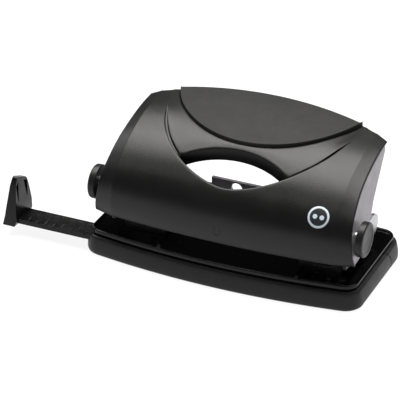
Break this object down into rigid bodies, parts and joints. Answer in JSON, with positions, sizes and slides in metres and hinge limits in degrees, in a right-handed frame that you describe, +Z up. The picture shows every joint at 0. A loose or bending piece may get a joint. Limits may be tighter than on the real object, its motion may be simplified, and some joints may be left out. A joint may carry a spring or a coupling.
{
  "type": "two_hole_desk_punch",
  "caption": "Compact two-hole desk punch with moulded hood, soft grip pad, steel towers, chip tray and sliding paper guide",
  "frame": {"origin": "centre of the flat resting face under the chip tray, on the table plane", "axes": "+X along the base towards the end without the guide, -Y towards the side where paper goes in, +Z up"},
  "size_m": [0.1677, 0.0668, 0.0626],
  "materials": {
    "plate_gloss": "gloss black enamel",
    "tray_plastic": "satin dark grey plastic",
    "tower_steel": "zinc plated sheet",
    "rivet_steel": "zinc plated",
    "die_steel": "hardened steel",
    "rod_steel": "ground steel rod",
    "cap_plastic": "satin black plastic",
    "guide_plastic": "satin black plastic",
    "lever_steel": "satin grey coated sheet",
    "hood_plastic": "fine grained satin charcoal plastic",
    "pad_rubber": "soft matte grip",
    "badge_print": "pale grey print",
    "punch_steel": "ground hardened steel",
    "spring_steel": "bright spring wire"
  },
  "bodies": {
    "base": {"base_plate": "plate_gloss", "tray_skirt": "tray_plastic", "tower_left": "tower_steel", "tower_right": "tower_steel", "tower_rivets": "rivet_steel", "die_left": "die_steel", "die_right": "die_steel", "axle_left": "rod_steel", "axle_right": "rod_steel", "axle_cap_left": "cap_plastic", "axle_cap_right": "cap_plastic", "guide_keeper": "tower_steel", "keeper_rivets": "rivet_steel", "guide_detent": "spring_steel", "tray_hinge_pins": "rod_steel"},
    "tray": {"chip_tray": "tray_plastic"},
    "guide": {"paper_guide": "guide_plastic"},
    "handle": {"lever_frame": "lever_steel", "handle_cover": "hood_plastic", "grip_pad": "pad_rubber", "badge": "badge_print", "cover_screws": "rivet_steel"},
    "punch_l": {"punch_left": "punch_steel", "punch_clip_left": "spring_steel", "punch_spring_left": "spring_steel"},
    "punch_r": {"punch_right": "punch_steel", "punch_clip_right": "spring_steel", "punch_spring_right": "spring_steel"}
  },
  "joints": [
    {"name": "handle_press", "type": "hinge", "parent": "base", "child": "handle", "pos_m": [0, -0.0175, 0.0306], "axis": [-1, 0, 0], "range_deg": [0, 20], "stiffness_Nm_per_rad": 0.5, "springref_deg": -14.32},
    {"name": "punch_left_drop", "type": "slide", "parent": "base", "child": "punch_l", "axis": [0, 0, -1], "range_m": [0, 0.00625], "deforming": ["punch_spring_left"]},
    {"name": "punch_right_drop", "type": "slide", "parent": "base", "child": "punch_r", "axis": [0, 0, -1], "range_m": [0, 0.00625], "deforming": ["punch_spring_right"]},
    {"name": "guide_slide", "type": "slide", "parent": "base", "child": "guide", "axis": [1, 0, 0], "range_m": [-0.008, 0.032]},
    {"name": "tray_open", "type": "hinge", "parent": "base", "child": "tray", "pos_m": [0, 0.0157, 0.0022], "axis": [1, 0, 0], "range_deg": [0, 30]}
  ],
  "couplings": [
    {"joint": "punch_left_drop", "follows": "handle_press", "m_per_rad": 0.01785},
    {"joint": "punch_right_drop", "follows": "handle_press", "m_per_rad": 0.01785}
  ]
}
